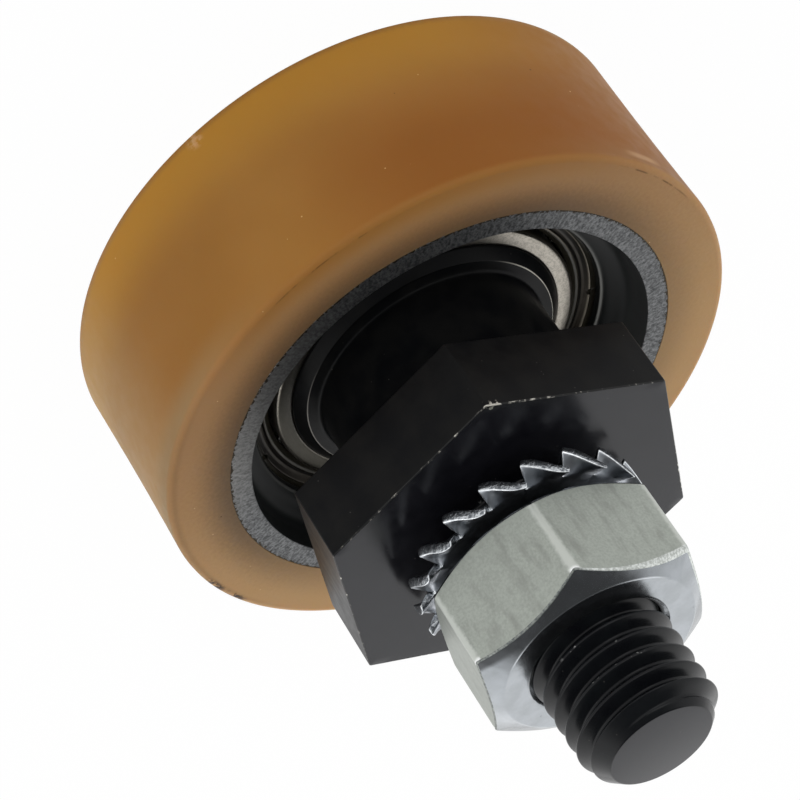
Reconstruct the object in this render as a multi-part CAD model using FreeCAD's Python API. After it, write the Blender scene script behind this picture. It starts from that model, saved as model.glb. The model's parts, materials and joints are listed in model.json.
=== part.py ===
"""Eccentric guide roller: a polyurethane wheel on a thin ball bearing, and an axle with its stud off centre.

The roller stands on its back face. The wheel turns about +Z through the origin, and the stud points up.
Lengths are in millimetres. One STEP file is written for each piece.
"""
import math
import os

import FreeCAD, Part
from FreeCAD import Vector

# Wheel
TYRE_D = 52.0
WHEEL_W = 18.0
TYRE_EDGE_R = 0.8
HUB_D = 41.0
HUB_RECESS_D = 37.1
HUB_MOUTH_EDGE = 0.1
HUB_SEAT_EDGE = 0.35
LIP_D = 32.4
LIP_T = 0.8

# Bearing, a thin single-row type
BEARING_BORE = 25.0
BEARING_D = 37.0
BEARING_W = 7.0
BEARING_DEPTH = 4.9
RING_CHAMFER = 0.3
INNER_RING_D = 28.2
OUTER_LAND_D = 33.4
SHIELD_SEAT_D = 34.4
SHIELD_SEAT_DEPTH = 1.1
BALL_D = 3.5
BALL_COUNT = 17
RACE_GAP = 0.15
RACE_R = 1.9

# Shields, with their depths below the ring faces
SHIELD_T = 0.35
SHIELD_RIM_DEPTH = 0.35
SHIELD_DISH_DEPTH = 0.7
SHIELD_STEP_D = 31.76
SHIELD_STEP_W = 0.35
SHIELD_HOLE_D = 29.2
DIMPLE_D = 0.7
DIMPLE_DEPTH = 0.2
DIMPLE_TIP_R = 0.05
DIMPLE_ANGLES = (139.0, -21.0)

# Cage
CAGE_INNER_D = 29.6
CAGE_OUTER_D = 32.4
CAGE_BACK = 2.1
CAGE_FRONT = 0.9
POCKET_GAP = 0.15

# Axle
ECCENTRICITY = 1.85
JOURNAL_FRONT_DEPTH = 4.0
JOURNAL_CHAMFER = 0.9
JOURNAL_TAIL = 3.1
NECK_D = 20.8
HEX_AF = 30.0
HEX_T = 7.0
HEX_GAP = 6.3
STUD_D = 12.0
STUD_L = 23.7
STUD_CHAMFER = 1.5

# Circlip behind the inner ring
CLIP_T = 1.2
CLIP_GROOVE_D = 23.9
CLIP_GROOVE_PLAY = 0.1
CLIP_OUTER_D = 28.4
CLIP_OFFSET = 0.65
CLIP_LUG_R = 2.0
CLIP_LUG_AT = 14.5
CLIP_LUG_ANGLE = 12.0
CLIP_HOLE_R = 0.9
CLIP_SLIT_W = 2.4

# Fan washer and nut, run on by hand with room for a plate in front of the hexagon
WASHER_BORE = 13.0
WASHER_RING_D = 17.8
WASHER_D = 20.8
WASHER_T = 0.85
WASHER_TO_NUT = 1.5
TOOTH_COUNT = 17
TOOTH_ROOT_W = 3.0
TOOTH_ROOT_T = 0.75
TOOTH_TIP_W = 3.95
TOOTH_TIP_T = 0.7
TOOTH_TWIST = 33.3
TOOTH_PHASE = -114.1
TOOTH_OVERLAP = 0.4
NUT_GAP = 4.1
NUT_AF = 19.0
NUT_H = 10.0
NUT_TURN = 0.5
NUT_FACE_D = 17.2
NUT_CHAMFER_ANGLE = 32.0
NUT_CORNER_R = 0.8
NUT_BORE_D = 12.1
NUT_SINK = 0.7

# Heights worked out from the sizes above
BEARING_TOP = WHEEL_W - BEARING_DEPTH
BEARING_MID = BEARING_TOP - BEARING_W / 2
BEARING_BOTTOM = BEARING_TOP - BEARING_W
JOURNAL_TOP = WHEEL_W - JOURNAL_FRONT_DEPTH
JOURNAL_BOTTOM = BEARING_BOTTOM - JOURNAL_TAIL
HEX_BACK = WHEEL_W + HEX_GAP
HEX_FRONT = HEX_BACK + HEX_T
STUD_TOP = HEX_FRONT + STUD_L
PITCH_R = (BEARING_BORE + BEARING_D) / 4
NUT_BACK = HEX_FRONT + NUT_GAP
WASHER_MID = NUT_BACK - WASHER_TO_NUT

Z = Vector(0, 0, 1)
ORIGIN = Vector(0, 0, 0)
STUD_AXIS = Vector(ECCENTRICITY, 0, 0)


def turned(points, arcs=None):
    """Solid of revolution about +Z from (radius, height) points.

    arcs maps a point's index to the mid point of the round edge that starts there.
    """
    arcs = arcs or {}
    corners = [Vector(r, 0, z) for r, z in points]
    edges = []
    for i, start in enumerate(corners):
        end = corners[(i + 1) % len(corners)]
        if i in arcs:
            r, z = arcs[i]
            edges.append(Part.Arc(start, Vector(r, 0, z), end).toShape())
        else:
            edges.append(Part.makeLine(start, end))
    return Part.Face(Part.Wire(edges)).revolve(ORIGIN, Z, 360)


def hexagon(across_flats, height, base_z, turn=0.0):
    """Hexagonal bar about the stud axis, with a corner towards +X when turn is zero."""
    corner_r = across_flats / math.sqrt(3)
    angles = [math.radians(turn + 60 * k) for k in range(7)]
    outline = [Vector(corner_r * math.cos(a), corner_r * math.sin(a), base_z) + STUD_AXIS for a in angles]
    return Part.Face(Part.makePolygon(outline)).extrude(Z * height)


def tyre():
    r_out, r_in, e = TYRE_D / 2, HUB_D / 2, TYRE_EDGE_R
    bulge = e * (1 - math.sqrt(0.5))
    points = [
        (r_in, 0), (r_out - e, 0), (r_out, e),
        (r_out, WHEEL_W - e), (r_out - e, WHEEL_W), (r_in, WHEEL_W),
    ]
    rounded = {1: (r_out - bulge, bulge), 3: (r_out - bulge, WHEEL_W - bulge)}
    return turned(points, rounded)


def hub():
    r_out, r_seat, r_recess, r_lip = HUB_D / 2, BEARING_D / 2, HUB_RECESS_D / 2, LIP_D / 2
    m, e = HUB_MOUTH_EDGE, HUB_SEAT_EDGE
    lip_top = BEARING_TOP + LIP_T
    return turned([
        (r_out, 0), (r_out, WHEEL_W),
        (r_recess + m, WHEEL_W), (r_recess, WHEEL_W - m), (r_recess, lip_top),
        (r_lip + m, lip_top), (r_lip, lip_top - m), (r_lip, BEARING_TOP),
        (r_seat, BEARING_TOP), (r_seat, e), (r_seat + e, 0),
    ])


def race_half_width(land_r):
    """Half the width of the ball groove where it meets a ring's land, and the radius of its bottom."""
    outside = land_r > PITCH_R
    bottom_r = PITCH_R + (1 if outside else -1) * (BALL_D / 2 + RACE_GAP)
    centre_r = bottom_r - RACE_R if outside else bottom_r + RACE_R
    return math.sqrt(RACE_R ** 2 - (land_r - centre_r) ** 2), bottom_r


def outer_ring():
    r_out, r_land, r_seat, c = BEARING_D / 2, OUTER_LAND_D / 2, SHIELD_SEAT_D / 2, RING_CHAMFER
    half, bottom_r = race_half_width(r_land)
    low, high = BEARING_BOTTOM, BEARING_TOP
    d = SHIELD_SEAT_DEPTH
    points = [
        (r_out, low + c), (r_out, high - c), (r_out - c, high), (r_seat, high),
        (r_seat, high - d), (r_land, high - d), (r_land, BEARING_MID + half), (r_land, BEARING_MID - half),
        (r_land, low + d), (r_seat, low + d), (r_seat, low), (r_out - c, low),
    ]
    return turned(points, {6: (bottom_r, BEARING_MID)})


def inner_ring():
    r_in, r_land, c = BEARING_BORE / 2, INNER_RING_D / 2, RING_CHAMFER
    half, bottom_r = race_half_width(r_land)
    low, high = BEARING_BOTTOM, BEARING_TOP
    points = [
        (r_in, low + c), (r_in + c, low), (r_land - c, low), (r_land, low + c),
        (r_land, BEARING_MID - half), (r_land, BEARING_MID + half),
        (r_land, high - c), (r_land - c, high), (r_in + c, high), (r_in, high - c),
    ]
    return turned(points, {4: (bottom_r, BEARING_MID)})


def ball_centres():
    angles = [2 * math.pi * k / BALL_COUNT for k in range(BALL_COUNT)]
    return [Vector(PITCH_R * math.cos(a), PITCH_R * math.sin(a), BEARING_MID) for a in angles]


def ball(centre):
    return Part.makeSphere(BALL_D / 2, centre)


def cage():
    """Crown cage: a ring with a round pocket for each ball, open to the front so that the balls snap in."""
    low, high = BEARING_MID - CAGE_BACK, BEARING_MID + CAGE_FRONT
    r_in, r_out = CAGE_INNER_D / 2, CAGE_OUTER_D / 2
    ring = turned([(r_in, low), (r_out, low), (r_out, high), (r_in, high)])
    pockets = [Part.makeSphere(BALL_D / 2 + POCKET_GAP, centre) for centre in ball_centres()]
    return ring.cut(Part.makeCompound(pockets))


def shield():
    """Pressed plate: a flat rim in the outer ring's seat, a step and a dish that clears the inner ring."""
    rim, dish, t = BEARING_TOP - SHIELD_RIM_DEPTH, BEARING_TOP - SHIELD_DISH_DEPTH, SHIELD_T
    r_out, r_step, r_hole = SHIELD_SEAT_D / 2, SHIELD_STEP_D / 2, SHIELD_HOLE_D / 2
    r_foot = r_step - SHIELD_STEP_W
    return turned([
        (r_hole, dish), (r_foot, dish), (r_step, rim), (r_out, rim),
        (r_out, rim - t), (r_step, rim - t), (r_foot, dish - t), (r_hole, dish - t),
    ])


def front_shield():
    """The front shield also has two punched dimples on its step."""
    plate = shield()
    r_mark, bottom = SHIELD_STEP_D / 2, BEARING_TOP - SHIELD_RIM_DEPTH - DIMPLE_DEPTH
    for angle in DIMPLE_ANGLES:
        a = math.radians(angle)
        place = Vector(r_mark * math.cos(a), r_mark * math.sin(a), bottom)
        plate = plate.cut(Part.makeCone(DIMPLE_TIP_R, DIMPLE_D, DIMPLE_D, place))
    return plate


def rear_shield():
    """The same plate, facing the back."""
    return shield().mirror(Vector(0, 0, BEARING_MID), Z)


def axle():
    """Journal and neck on the wheel's axis, with the hexagon and the stud off centre in front of them."""
    r, c = BEARING_BORE / 2, JOURNAL_CHAMFER
    r_groove, r_neck = CLIP_GROOVE_D / 2, NECK_D / 2
    groove_low = BEARING_BOTTOM - CLIP_T - CLIP_GROOVE_PLAY
    spindle = turned([
        (0, JOURNAL_BOTTOM), (r - c, JOURNAL_BOTTOM), (r, JOURNAL_BOTTOM + c),
        (r, groove_low), (r_groove, groove_low), (r_groove, BEARING_BOTTOM), (r, BEARING_BOTTOM),
        (r, JOURNAL_TOP - c), (r - c, JOURNAL_TOP), (r_neck, JOURNAL_TOP), (r_neck, HEX_BACK), (0, HEX_BACK),
    ])
    r_stud, tip = STUD_D / 2, STUD_CHAMFER
    stud = turned([
        (0, HEX_FRONT), (r_stud, HEX_FRONT),
        (r_stud, STUD_TOP - tip), (r_stud - tip, STUD_TOP), (0, STUD_TOP),
    ])
    stud.translate(STUD_AXIS)
    return spindle.fuse([hexagon(HEX_AF, HEX_T, HEX_BACK), stud]).removeSplitter()


def circlip():
    """Spring ring: widest opposite its slit, with a round lug and a plier hole each side of the slit."""
    base = Vector(0, 0, BEARING_BOTTOM - CLIP_T)
    ring = Part.makeCylinder(CLIP_OUTER_D / 2, CLIP_T, base - Vector(CLIP_OFFSET, 0, 0))
    holes = [Part.makeCylinder(CLIP_GROOVE_D / 2, CLIP_T, base)]
    for side in (-1, 1):
        a = math.radians(side * CLIP_LUG_ANGLE)
        place = base + Vector(CLIP_LUG_AT * math.cos(a), CLIP_LUG_AT * math.sin(a), 0)
        ring = ring.fuse(Part.makeCylinder(CLIP_LUG_R, CLIP_T, place))
        holes.append(Part.makeCylinder(CLIP_HOLE_R, CLIP_T, place))
    slit_corner = base - Vector(0, CLIP_SLIT_W / 2, 0)
    holes.append(Part.makeBox(CLIP_LUG_AT + 2 * CLIP_LUG_R, CLIP_SLIT_W, CLIP_T, slit_corner))
    return ring.cut(holes).removeSplitter()


def tooth_section(radius, width, thickness, twist):
    """Closed rectangle across a tooth at a radius along +X, turned about the tooth's own centre line."""
    half_w, half_t = width / 2, thickness / 2
    c, s = math.cos(twist), math.sin(twist)
    corners = [(half_w, half_t), (-half_w, half_t), (-half_w, -half_t), (half_w, -half_t), (half_w, half_t)]
    return Part.makePolygon([Vector(radius, y * c - z * s, y * s + z * c) for y, z in corners])


def lock_washer():
    """Fan washer: each tooth is lofted from a level root in the ring to a twisted tip."""
    r_in, r_ring, r_tip = WASHER_BORE / 2, WASHER_RING_D / 2, WASHER_D / 2
    half_t = WASHER_T / 2
    ring = turned([(r_in, -half_t), (r_ring, -half_t), (r_ring, half_t), (r_in, half_t)])
    root = tooth_section(r_ring - TOOTH_OVERLAP, TOOTH_ROOT_W, TOOTH_ROOT_T, 0)
    tip = tooth_section(r_tip, TOOTH_TIP_W, TOOTH_TIP_T, -math.radians(TOOTH_TWIST))
    tooth = Part.makeLoft([root, tip], True, True)
    teeth = []
    for k in range(TOOTH_COUNT):
        copy = tooth.copy()
        copy.rotate(ORIGIN, Z, TOOTH_PHASE + 360 * k / TOOTH_COUNT)
        teeth.append(copy)
    washer = ring.fuse(teeth).removeSplitter()
    washer.translate(STUD_AXIS + Z * WASHER_MID)
    return washer


def hex_nut():
    """Hexagon with rounded corner edges, turned to a cone at both ends and countersunk for the thread."""
    bar = hexagon(NUT_AF, NUT_H, NUT_BACK, NUT_TURN)
    uprights = [edge for edge in bar.Edges if abs(edge.tangentAt(edge.FirstParameter).z) > 0.9]
    bar = bar.makeFillet(NUT_CORNER_R, uprights)
    corner_r, face_r = NUT_AF / math.sqrt(3), NUT_FACE_D / 2
    rise = (corner_r - face_r) * math.tan(math.radians(NUT_CHAMFER_ANGLE))
    r, s = NUT_BORE_D / 2, NUT_SINK
    low, high = NUT_BACK, NUT_BACK + NUT_H
    blank = turned([
        (r, low + s), (r + s, low), (face_r, low), (corner_r, low + rise),
        (corner_r, high - rise), (face_r, high), (r + s, high), (r, high - s),
    ])
    blank.translate(STUD_AXIS)
    return bar.common(blank)


def main():
    pieces = {
        "tyre": tyre(),
        "hub": hub(),
        "bearing_outer_ring": outer_ring(),
        "front_shield": front_shield(),
        "rear_shield": rear_shield(),
        "bearing_cage": cage(),
        "axle": axle(),
        "bearing_inner_ring": inner_ring(),
        "axle_circlip": circlip(),
        "lock_washer": lock_washer(),
        "hex_nut": hex_nut(),
    }
    for number, centre in enumerate(ball_centres(), start=1):
        pieces[f"ball_{number:02d}"] = ball(centre)
    os.makedirs("parts", exist_ok=True)
    for name, shape in pieces.items():
        shape.exportStep(f"parts/{name}.step")
        box = shape.BoundBox
        print(f"{name}: {len(shape.Solids)} solid, valid {shape.isValid()}, {shape.Volume:.1f} mm3,"
              f" z {box.ZMin:.2f} to {box.ZMax:.2f}")


main()
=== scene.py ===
# %% [markdown]
# # An eccentric guide roller
# A guide roller is a wheel on a stud. It runs along a rail or a door edge and keeps what it carries in
# line. This one has a tyre of amber polyurethane cast on a steel hub, a thin ball bearing and a black
# steel axle. The axle's threaded stud is off the wheel's own axis, so turning the hexagon sets how hard
# the wheel presses. The CAD model is loaded first, as a fixed frame. Each step after that gives one piece
# its edges and finish.

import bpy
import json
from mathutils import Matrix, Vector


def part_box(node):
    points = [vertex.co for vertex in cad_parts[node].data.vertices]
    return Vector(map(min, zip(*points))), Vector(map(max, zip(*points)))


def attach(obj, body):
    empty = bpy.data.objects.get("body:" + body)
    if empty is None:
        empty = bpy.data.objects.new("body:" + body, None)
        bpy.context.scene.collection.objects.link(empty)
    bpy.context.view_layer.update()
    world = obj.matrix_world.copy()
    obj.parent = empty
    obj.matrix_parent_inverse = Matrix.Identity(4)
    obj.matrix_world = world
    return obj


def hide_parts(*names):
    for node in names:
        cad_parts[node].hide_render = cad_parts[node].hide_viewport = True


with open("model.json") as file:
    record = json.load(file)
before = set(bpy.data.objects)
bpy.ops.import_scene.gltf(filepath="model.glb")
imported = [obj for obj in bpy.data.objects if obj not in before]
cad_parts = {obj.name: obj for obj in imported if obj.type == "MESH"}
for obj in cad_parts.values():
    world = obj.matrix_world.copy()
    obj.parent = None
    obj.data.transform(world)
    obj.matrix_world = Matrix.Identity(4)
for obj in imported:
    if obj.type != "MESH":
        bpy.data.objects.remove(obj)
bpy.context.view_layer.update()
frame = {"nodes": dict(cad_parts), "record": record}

# %% [markdown]
# ## Units
# The roller was drawn in millimetres and Blender works in metres, so sizes stay in millimetres until a
# mesh is made. Many needn't be typed in again: the frame knows where each CAD piece begins and ends.

# %% Units and sizes
import json
import math

import bmesh
import bpy
import numpy as np
from mathutils import Matrix, Vector

MM = 0.001


def extent(node):
    """Lowest and highest corner of a CAD piece, in millimetres."""
    low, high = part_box(node)
    return np.array(low) / MM, np.array(high) / MM


WHEEL_R, WHEEL_W = extent("tyre")[1][[0, 2]]
HUB_R = extent("hub")[1][0]
print(f"wheel {2 * WHEEL_R:.1f} mm across and {WHEEL_W:.1f} mm wide, hub {2 * HUB_R:.1f} mm across")

# %% [markdown]
# ## Camera
# The photograph looks at the stud from above and far off, with the picture turned so that the stud points
# to the lower right. A long lens flattens the view. The camera is set by what a photographer would note
# down: the point it aims at, its distance, heading and height, and how far it is turned about its own
# line of sight.

# %% Camera
AIM = Vector((3.64, -1.30, 15.20)) * MM
DISTANCE = 263.3 * MM
HEADING, HEIGHT, ROLL = (math.radians(a) for a in (-19.67, 34.39, 146.51))
LENS = 141.63

camera = bpy.data.objects.new("photo_camera", bpy.data.cameras.new("photo_camera"))
bpy.context.scene.collection.objects.link(camera)
camera.data.lens = LENS
camera.data.sensor_width = 36.0
camera.data.clip_start = 10 * MM
pan = Matrix.Rotation(HEADING, 4, "Z")
tilt = Matrix.Rotation(math.pi / 2 - HEIGHT, 4, "X")
roll = Matrix.Rotation(ROLL, 4, "Z")
camera.matrix_world = Matrix.Translation(AIM) @ pan @ tilt @ roll @ Matrix.Translation((0, 0, DISTANCE))
bpy.context.scene.camera = camera
print("camera at", [round(c / MM, 1) for c in camera.matrix_world.translation], "mm")

# %% [markdown]
# ## Outlines with soft corners
# No real edge is perfectly sharp. A turned edge is broken with a file, a casting has a radius, and each
# of them catches a thin line of light. A Bevel modifier could do it, but here every outline is softened
# before it is turned: a corner is swapped for a short curve that leaves one side and joins the next.

# %% Soft corners


def soften(corners, cuts, closed=False, steps=3):
    """Outline with each corner rounded. A corner is (radius, height), or an array with one for each angle.

    A cut is how far the curve starts from its corner, and may differ with the angle too.
    """
    corners = [np.asarray(corner, float) for corner in corners]
    count = len(corners)
    points = []
    for i, (corner, cut) in enumerate(zip(corners, cuts)):
        if not np.any(cut) or (not closed and i in (0, count - 1)):
            points.append(corner)
            continue
        arms = [corners[i - 1] - corner, corners[(i + 1) % count] - corner]
        start, end = (corner + cut * arm / np.linalg.norm(arm, axis=-1, keepdims=True) for arm in arms)
        for t in np.linspace(0, 1, steps + 1):
            points.append((1 - t) ** 2 * start + 2 * t * (1 - t) * corner + t ** 2 * end)
    return np.array(points)


square = soften([(0, 0), (1, 0), (1, 1), (0, 1)], [0.1] * 4, closed=True)
print("a softened square has", len(square), "points")

# %% [markdown]
# ## Meshes from rows of points
# Most pieces here are turned on a lathe, so a mesh is made of rows of points, one row for each point of
# the outline, carried round an axis. Neighbouring rows are joined by quads, and what meets is welded.
# Blender's Screw modifier would do a plain turned ring, but rows made in code can also be hexagons, or
# climb like a thread. A Weighted Normal modifier then lets the large faces set the shading, so that flat
# faces look flat.

# %% Rows to mesh
WELD = 0.0005 * MM


def carry_round(outline, angles, centre=0.0):
    """Rows of points: an outline of (radius, height) carried round an axis at x = centre."""
    r, z = outline[..., 0], outline[..., 1]
    if outline.ndim == 2:
        r, z = r[:, None], z[:, None]
    x, y = centre + r * np.cos(angles), r * np.sin(angles)
    return np.stack(np.broadcast_arrays(x, y, z), axis=-1)


def weld(name, *patches):
    """One object from patches. Each is rows of points in millimetres and the number of its finish."""
    shell = bmesh.new()
    for rows, finish in patches:
        count, columns = rows.shape[:2]
        verts = [shell.verts.new(p) for p in rows.reshape(-1, 3) * MM]
        for i in range(count - 1):
            for j in range(i * columns, (i + 1) * columns - 1):
                face = shell.faces.new((verts[j], verts[j + 1], verts[j + columns + 1], verts[j + columns]))
                face.material_index = finish
    bmesh.ops.remove_doubles(shell, verts=shell.verts, dist=WELD)
    bmesh.ops.recalc_face_normals(shell, faces=shell.faces)
    return shaded(name, shell)


def shaded(name, shell):
    """Links a bmesh as a smooth-shaded object whose flat faces stay flat."""
    open_edges = sum(not edge.is_manifold for edge in shell.edges)
    mesh = bpy.data.meshes.new(name)
    shell.to_mesh(mesh)
    shell.free()
    mesh.polygons.foreach_set("use_smooth", [True] * len(mesh.polygons))
    piece = bpy.data.objects.new(name, mesh)
    bpy.context.scene.collection.objects.link(piece)
    piece.modifiers.new("flat_faces", "WEIGHTED_NORMAL")
    print(f"{name}: {len(mesh.polygons)} faces, {open_edges} open edges")
    return piece


print("points closer than", WELD / MM, "mm are welded")

# %% [markdown]
# ## Taking a CAD piece's place
# The CAD node stays in the frame for weight and contact. The new mesh hides it and moves with the same
# body, which is looked up in the record, so a piece can't land on the wrong body.

# %% Taking a place
record = frame["record"]
BODY_OF = {node: body for body, nodes in record["behaviour"]["bodies"].items() for node in nodes}
SLOT_OF = {row["node"]: row["material_slot"] for row in record["subparts"]}
FULL_TURN = np.linspace(0, 2 * math.pi, 289)


def stand_for(piece, node):
    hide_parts(node)
    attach(piece, BODY_OF[node])
    return piece


def turned_ring(name, node, corners, cuts, angles=FULL_TURN):
    """A closed ring about the wheel's axis that stands for a CAD piece."""
    outline = soften(corners, cuts, closed=True)
    rows = carry_round(np.concatenate([outline, outline[:1]]), angles)
    return stand_for(weld(name, (rows, 0)), node)


# %% [markdown]
# ## Node graphs
# Blender draws a material as a graph of nodes. Typed out in full, each node takes several lines, so this
# class shortens the typing: a call adds a node or two and gives back an output, which the next call can
# take in. A colour is written as a screen code, and is turned into linear light where it is fed to a
# socket.

# %% Node graph helper


def paint(code):
    """Linear colour of a screen colour such as 9A6A38, as a shader socket wants it."""
    parts = [int(code[i:i + 2], 16) / 255 for i in (0, 2, 4)]
    return (*[c / 12.92 if c <= 0.04045 else ((c + 0.055) / 1.055) ** 2.4 for c in parts], 1.0)


class Graph:
    """Adds nodes to a node tree."""

    def __init__(self, tree):
        self.tree = tree

    def node(self, kind, *inputs, **choices):
        """A new node. Each input is a number, a colour code or the output of another node."""
        node = self.tree.nodes.new("ShaderNode" + kind)
        for choice, value in choices.items():
            setattr(node, choice, value)
        for socket, value in zip(node.inputs, inputs):
            self.feed(socket, value)
        return node

    def feed(self, socket, value):
        """Links an output to a socket, or sets the socket's own value. None leaves it as it is."""
        if isinstance(value, bpy.types.NodeSocket):
            self.tree.links.new(value, socket)
        elif value is not None:
            socket.default_value = paint(value) if isinstance(value, str) else value

    def math(self, operation, *values):
        return self.node("Math", *values, operation=operation).outputs[0]

    def times(self, first, *others):
        """The product of all values. For masks, 1 only where every one of them is 1."""
        for other in others:
            first = self.math("MULTIPLY", first, other)
        return first

    def either(self, one, other):
        """The larger of two masks."""
        return self.math("MAXIMUM", one, other)

    def off(self, value, middle):
        """How far a value is from a middle, on either side."""
        return self.math("ABSOLUTE", self.math("SUBTRACT", value, middle))

    def plus(self, value, other, amount):
        """A value plus some of another, such as a noise that makes a border ragged."""
        return self.math("MULTIPLY_ADD", other, amount, value)

    def vector(self, operation, *values):
        return self.node("VectorMath", *values, operation=operation).outputs

    def fade(self, value, start, end, low=0.0, high=1.0):
        """low where value is below start, high above end, and a smooth step between."""
        step = self.node("MapRange", value, start, end, low, high, interpolation_type="SMOOTHSTEP")
        return step.outputs[0]


print("amber in linear light:", [round(c, 3) for c in paint("9A6A38")[:3]])

# %% [markdown]
# ## Finishes
# A finish is one material with one Principled shader. Its pattern comes from where a point is on the
# piece, in millimetres from the wheel's axis, so that a scratch or a grain has its true size and needs no
# unwrapping.

# %% Finish helper


class Finish(Graph):
    """A material. x, y, z and radius are where a point is, in millimetres."""

    def __init__(self, name, sockets):
        self.material = bpy.data.materials.new(name)
        self.material.use_nodes = True
        super().__init__(self.material.node_tree)
        self.shader = self.tree.nodes["Principled BSDF"]
        for socket, value in sockets.items():
            self.give(socket, value)
        self.coordinates = self.node("TexCoord").outputs
        self.place = self.node("Mapping", self.coordinates["Object"], None, None, (1 / MM,) * 3).outputs[0]
        self.x, self.y, self.z = self.node("SeparateXYZ", self.place).outputs
        self.flat_place = self.node("CombineXYZ", self.x, self.y, 0.0).outputs[0]
        self.radius = self.away((0, 0, 0), self.flat_place)

    def give(self, socket, value):
        self.feed(self.shader.inputs[socket], value)

    def away(self, point, where=None):
        """Distance from a point, in millimetres."""
        return self.vector("DISTANCE", where or self.place, point)["Value"]

    def along(self, x, y):
        """How far a point is from the wheel's axis along the way (x, y), in millimetres."""
        return self.vector("DOT_PRODUCT", self.place, (x, y, 0.0))["Value"]

    def stretched(self, factors):
        """The place with its axes stretched, for patterns that run one way."""
        return self.vector("MULTIPLY", self.place, factors)[0]

    def noise(self, scale, detail=2.0, where=None):
        return self.node("TexNoise", where or self.place, None, scale, detail).outputs[0]

    def mix(self, amount, one, other):
        """Blends two colours. A Mix node keeps its colour sockets after those for numbers and vectors."""
        return self.node("Mix", amount, *[None] * 5, one, other, data_type="RGBA").outputs[2]

    def specks(self, spacing, size, share):
        """1 inside small round specks, one to a cell of the given spacing, in a share of the cells."""
        cells = self.node("TexVoronoi", self.place, None, 1 / spacing).outputs
        kept = self.math("LESS_THAN", self.node("SeparateColor", cells["Color"]).outputs[0], share)
        return self.times(kept, self.fade(cells["Distance"], size, size / 2))

    def bump(self, height, depth):
        """Relief of a height from 0 to 1, and a depth in millimetres."""
        node = self.node("Bump", 1.0, depth * MM)
        self.feed(node.inputs["Height"], height)
        self.give("Normal", node.outputs["Normal"])


def dress(piece, *finishes):
    """Gives a piece its finishes, in the order of their numbers on its faces."""
    numbers = [polygon.material_index for polygon in piece.data.polygons]
    piece.data.materials.clear()
    for finish in finishes:
        piece.data.materials.append(finish.material)
    piece.data.polygons.foreach_set("material_index", numbers)


print("ready to make finishes with", Finish.__name__, "and", dress.__name__)

# %% [markdown]
# ## Tyre
# The tyre is polyurethane poured round the hub in a mould and trimmed to width. The edge it was poured
# from is rounded and the other one sharp, the tread is a hair hollow where the resin shrank, and a fine
# groove is left next to the steel. It is one turned ring, with a different cut at each corner.

# %% Tyre mesh
FRONT_EDGE, BACK_EDGE, BOND_GROOVE = 0.6, 0.15, 0.05
HOLLOW, HOLLOW_CURVE = 0.12, 6.0

tyre = turned_ring(
    "tyre_casting", "tyre",
    [(HUB_R, 0), (WHEEL_R, 0), (WHEEL_R - HOLLOW, WHEEL_W / 2), (WHEEL_R, WHEEL_W), (HUB_R, WHEEL_W)],
    [BOND_GROOVE, BACK_EDGE, HOLLOW_CURVE, FRONT_EDGE, BOND_GROOVE],
)

# %% [markdown]
# ## Polyurethane, tread
# Cast polyurethane is like clouded honey. Light goes in, scatters and comes out warmer. A little
# subsurface scattering does some of that, and painted glow does the rest: the back edge is painted golden
# and the tread redder towards the front. Painted shade darkens the tread on two sides and deepens its red
# on a third, and a painted pale sheen lies on one side and along the front edge. A painted texture could
# hold all of it, but colour washes need no unwrapping: each one mixes in where a point lies far enough
# one way.

# %% Tread colour
SCATTER_DEPTH = 2.0

polyurethane = Finish("polyurethane", {
    "Subsurface Weight": 0.3, "Subsurface Scale": SCATTER_DEPTH * MM,
    "Subsurface Radius": (1.0, 0.42, 0.14), "Specular IOR Level": 0.08,
})
f = polyurethane
tread = f.mix(f.fade(f.noise(0.08, 3.0), 0.3, 0.7), "976B32", "A07339")
# Painted shade: the tread is darker on one side.
tread = f.mix(f.fade(f.along(0.64, -0.77), 14.0, 25.0, 0.0, 0.6), tread, "7E5524")
# Painted glow: the tread is redder towards the front, most of all on one side.
reddest = f.fade(f.along(-0.79, -0.62), 19.0, 26.0, 0.12, 1.0)
tread = f.mix(f.times(f.fade(f.z, 2.0, 13.5), reddest), tread, "875422")
# Painted glow: the back edge is golden.
tread = f.mix(f.fade(f.z, 8.0, 0.5), tread, "A8792F")
warm = f.fade(f.along(-0.5, -0.87), 14.0, 25.0)
# Painted sheen: paler and greyer along the front edge, except on one side.
greyer = f.times(f.fade(f.z, 14.5, 17.6, 0.0, 0.6), f.math("SUBTRACT", 1.0, warm))
tread = f.mix(greyer, tread, "98805E")
# Painted shade: darker on another side.
tread = f.mix(f.fade(f.along(0.3, 0.95), 2.0, 20.0, 0.0, 0.6), tread, "8A6638")
# Painted sheen: milky pale on one side. Painted shade: deep red on the opposite side.
sheen_way = f.along(0.9, -0.43)
tread = f.mix(f.fade(sheen_way, 19.0, 26.0, 0.0, 0.5), tread, "9C845E")
tread = f.mix(f.fade(sheen_way, -10.0, -25.0, 0.0, 0.6), tread, "7C4610")
print("polyurethane scatters light to", SCATTER_DEPTH, "mm")

# %% [markdown]
# ## Polyurethane, side faces
# The side faces were trimmed with a blade, so they are paler than the tread and finely grained. Painted
# light makes them lighter towards one side of the wheel, and painted shade makes them a darker orange
# towards the rim on the other. Next to the hub the dark steel shows through the resin, and painted shade
# deepens it on one side. Where the tread bends over into the front face, painted shade darkens it on one
# side of the wheel. The side has its own colour, and a mask from the height chooses between the two. Two
# materials could do the same, but a mask lets one run into the other.

# %% Side colour
HALF_W = WHEEL_W / 2

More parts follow.
